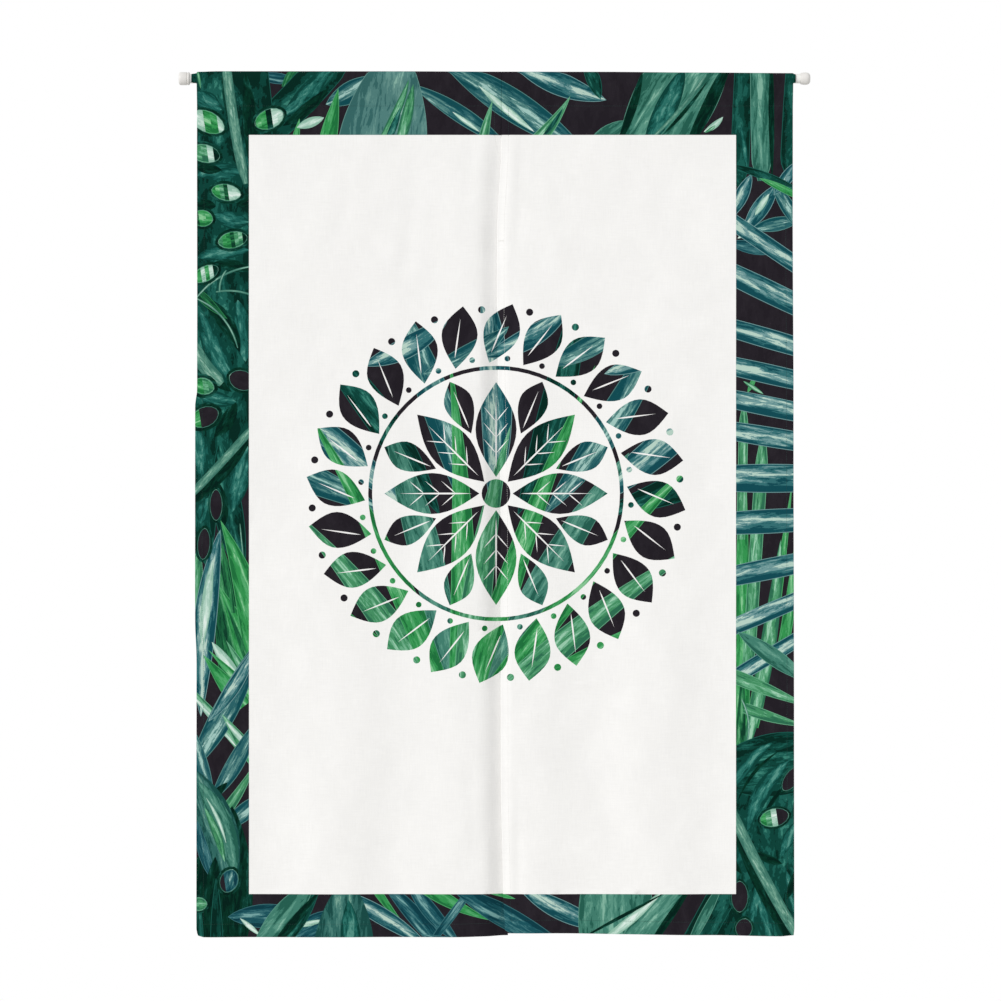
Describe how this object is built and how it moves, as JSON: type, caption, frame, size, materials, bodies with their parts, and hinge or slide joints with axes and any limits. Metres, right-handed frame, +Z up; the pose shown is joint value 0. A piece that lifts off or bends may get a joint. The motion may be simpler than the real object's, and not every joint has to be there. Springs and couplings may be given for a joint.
{
  "type": "noren curtain on its rod",
  "caption": "Split doorway curtain of printed cloth hanging in panels from a straight rod with end caps.",
  "frame": {"origin": "on the rod's axis, at the middle of the cloth's width", "axes": "+X along the rod to the viewer's right, +Y away from the viewer, +Z up; the printed front faces -Y"},
  "size_m": [0.8764, 0.0186, 1.203],
  "materials": {
    "cloth": "matt plain weave, printed with a dark leaf border and a leaf roundel",
    "rod_enamel": "satin white enamel on steel tube",
    "cap_plastic": "moulded white plastic"
  },
  "bodies": {
    "root": {"panel_left": "cloth", "panel_right": "cloth", "rod": "rod_enamel", "end_cap_left": "cap_plastic", "end_cap_right": "cap_plastic"}
  },
  "joints": []
}
